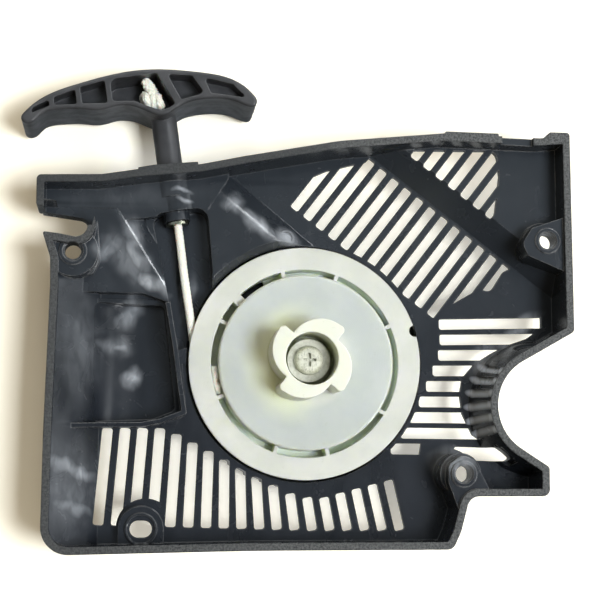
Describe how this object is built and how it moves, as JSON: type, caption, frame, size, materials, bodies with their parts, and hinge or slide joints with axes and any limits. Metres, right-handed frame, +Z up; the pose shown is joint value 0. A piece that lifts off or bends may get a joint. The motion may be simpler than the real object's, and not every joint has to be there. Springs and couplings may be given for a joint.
{
  "type": "recoil starter",
  "caption": "Rope-pull recoil starter for a small engine: slotted side cover, sprung rope reel with hooked drive claws, pull cord and T-shaped grip.",
  "frame": {"origin": "point where the reel axis meets the cover's joint plane", "axes": "+Y along the reel axis away from the engine, +Z up towards the grip, +X to the right seen from the engine; the joint plane is y = 0"},
  "size_m": [0.1881, 0.037, 0.1637],
  "materials": {
    "cover_plastic": "satin moulded",
    "reel_nylon": "natural nylon",
    "cord": "braided",
    "eyelet_steel": "polished",
    "grip_plastic": "moulded",
    "spring_steel": "blued",
    "case_plastic": "moulded",
    "screw_steel": "zinc plated",
    "washer_steel": "zinc plated"
  },
  "bodies": {
    "housing": {"starter_housing": "cover_plastic", "cord_eyelet": "eyelet_steel", "spring_case": "case_plastic", "recoil_spring": "spring_steel", "reel_screw": "screw_steel", "reel_washer": "washer_steel", "cord_run": "cord"},
    "reel": {"rope_reel": "reel_nylon", "cord_coil": "cord", "reel_knot": "cord"},
    "handle": {"pull_handle": "grip_plastic", "handle_knot": "cord", "handle_cord": "cord"}
  },
  "joints": [
    {"name": "reel_spin", "type": "hinge", "parent": "housing", "child": "reel", "pos_m": [0, 0.015, 0], "axis": [0, 1, 0], "range_deg": [0, 1392]},
    {"name": "handle_pull", "type": "slide", "parent": "housing", "child": "handle", "axis": [-0.1392, 0, 0.9903], "range_m": [0, 0.9]}
  ],
  "couplings": [
    {"joint": "handle_pull", "follows": "reel_spin", "m_per_rad": 0.037}
  ]
}
